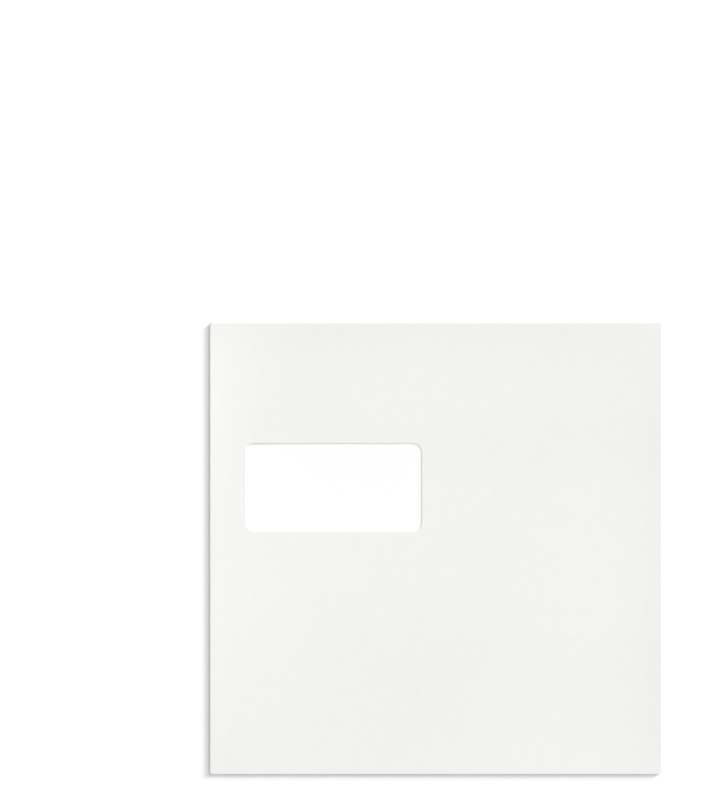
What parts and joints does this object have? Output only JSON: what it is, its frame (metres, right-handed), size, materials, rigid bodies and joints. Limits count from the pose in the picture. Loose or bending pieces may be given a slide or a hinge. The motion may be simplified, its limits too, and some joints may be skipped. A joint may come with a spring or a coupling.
{
  "type": "window envelope",
  "caption": "Square white paper envelope lying face up, with a clear address window on its front, glued side seams and a gummed flap folded shut behind.",
  "frame": {"origin": "on the surface that the envelope lies on, under the middle of the envelope", "axes": "+Z out of the window side, +Y up the face of the envelope towards the fold of the seal flap, +X to the right as seen from the window side"},
  "size_m": [0.23, 0.23, 0.0015],
  "materials": {
    "paper": "matte",
    "film": "gloss",
    "glue": "satin",
    "gum": "satin"
  },
  "bodies": {
    "root": {"envelope_sheet": "paper", "window_pane": "film", "pane_glue": "glue", "left_seam_glue": "glue", "right_seam_glue": "glue", "flap_gum": "gum"}
  },
  "joints": []
}
